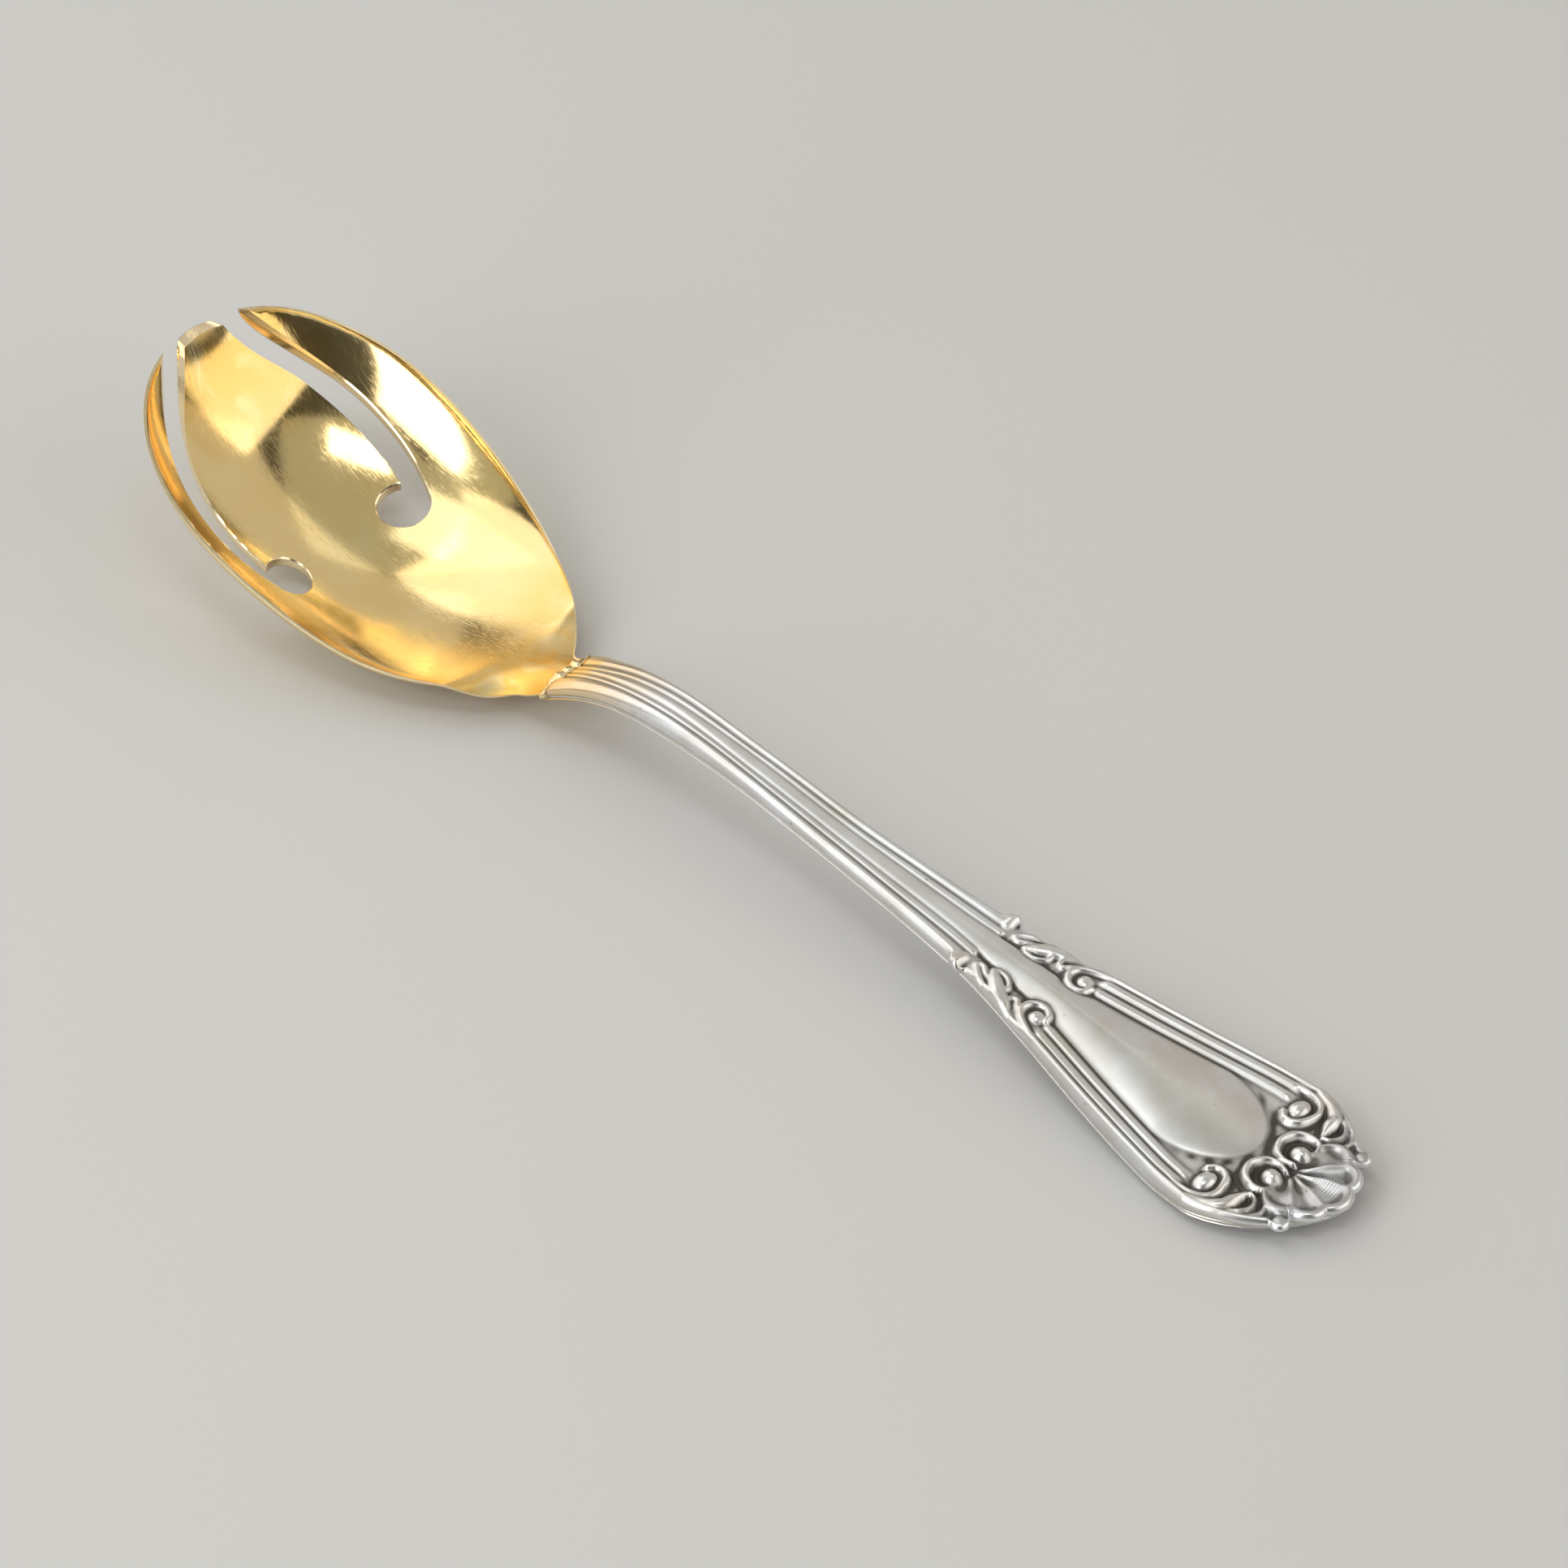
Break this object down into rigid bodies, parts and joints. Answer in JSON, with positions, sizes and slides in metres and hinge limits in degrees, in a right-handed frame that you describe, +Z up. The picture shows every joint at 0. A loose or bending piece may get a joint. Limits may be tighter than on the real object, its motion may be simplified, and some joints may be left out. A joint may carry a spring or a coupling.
{
  "type": "serving fork",
  "caption": "Serving fork with a broad gilt bowl slotted into tines and a filled silver handle with reeds, scrolls and a shell at its tail.",
  "frame": {"origin": "on the table that the fork lies on, under the middle of its bounding box", "axes": "+X from the tine tips to the tail of the handle, +Y across the fork to its own left, +Z up, out of the bowl"},
  "size_m": [0.2348, 0.05, 0.0288],
  "materials": {
    "gilt": "polished gilding with fine scratches",
    "silver": "polished silver, dark in the recesses",
    "solder": "bright uneven solder",
    "cement": "rough brown cement"
  },
  "bodies": {
    "root": {"fork_bowl": "gilt", "neck_solder": "solder", "handle_front_shell": "silver", "handle_back_shell": "silver", "seam_solder": "solder", "handle_filler": "cement"}
  },
  "joints": []
}
